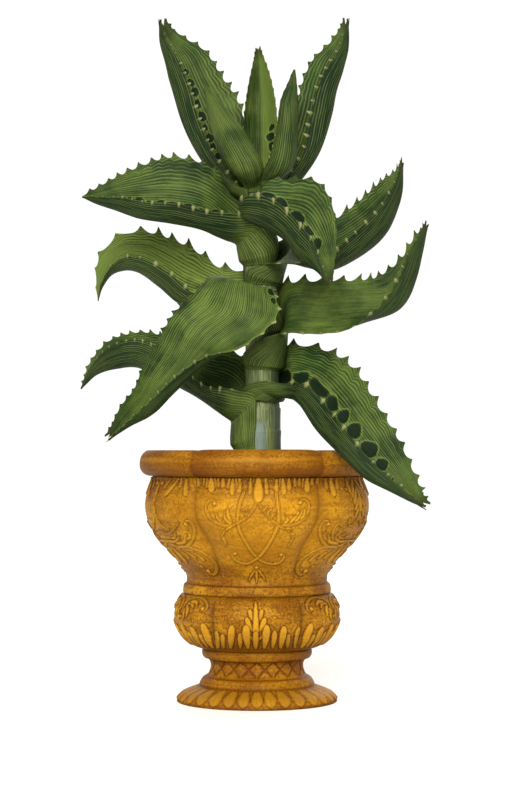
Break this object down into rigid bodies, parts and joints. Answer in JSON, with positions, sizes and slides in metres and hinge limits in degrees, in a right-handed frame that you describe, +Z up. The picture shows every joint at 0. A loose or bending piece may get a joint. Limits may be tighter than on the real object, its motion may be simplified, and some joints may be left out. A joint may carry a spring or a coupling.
{
  "type": "potted aloe",
  "caption": "Young tree aloe with toothed, channelled leaves on a clasped stem, standing in soil in a lobed ornamental pot with a flared foot.",
  "frame": {"origin": "on the pot's axis, on the plane that the foot stands on", "axes": "+Z up along the pot and the stem, -Y towards the side that faces the viewer, +X to the viewer's right"},
  "size_m": [0.3504, 0.2519, 0.6864],
  "materials": {
    "pot_glaze": "golden ochre glaze on earthenware, satin, darker in the hollows",
    "soil": "dark crumbly potting soil with grit",
    "stem_skin": "grey-green stem with a dull bloom, matt",
    "leaf_skin": "dark green fleshy leaf with fine length-wise lines, satin"
  },
  "bodies": {
    "root": {"pot": "pot_glaze", "soil": "soil", "stem": "stem_skin", "leaf_low_left": "leaf_skin", "leaf_low_right": "leaf_skin", "leaf_mid_right": "leaf_skin", "leaf_front_left": "leaf_skin", "leaf_mid_left": "leaf_skin", "leaf_high_right": "leaf_skin", "leaf_high_left": "leaf_skin", "leaf_front_right": "leaf_skin", "leaf_top_left": "leaf_skin", "leaf_top_right": "leaf_skin", "leaf_heart_back": "leaf_skin", "leaf_heart_left": "leaf_skin", "leaf_heart_right": "leaf_skin"}
  },
  "joints": []
}
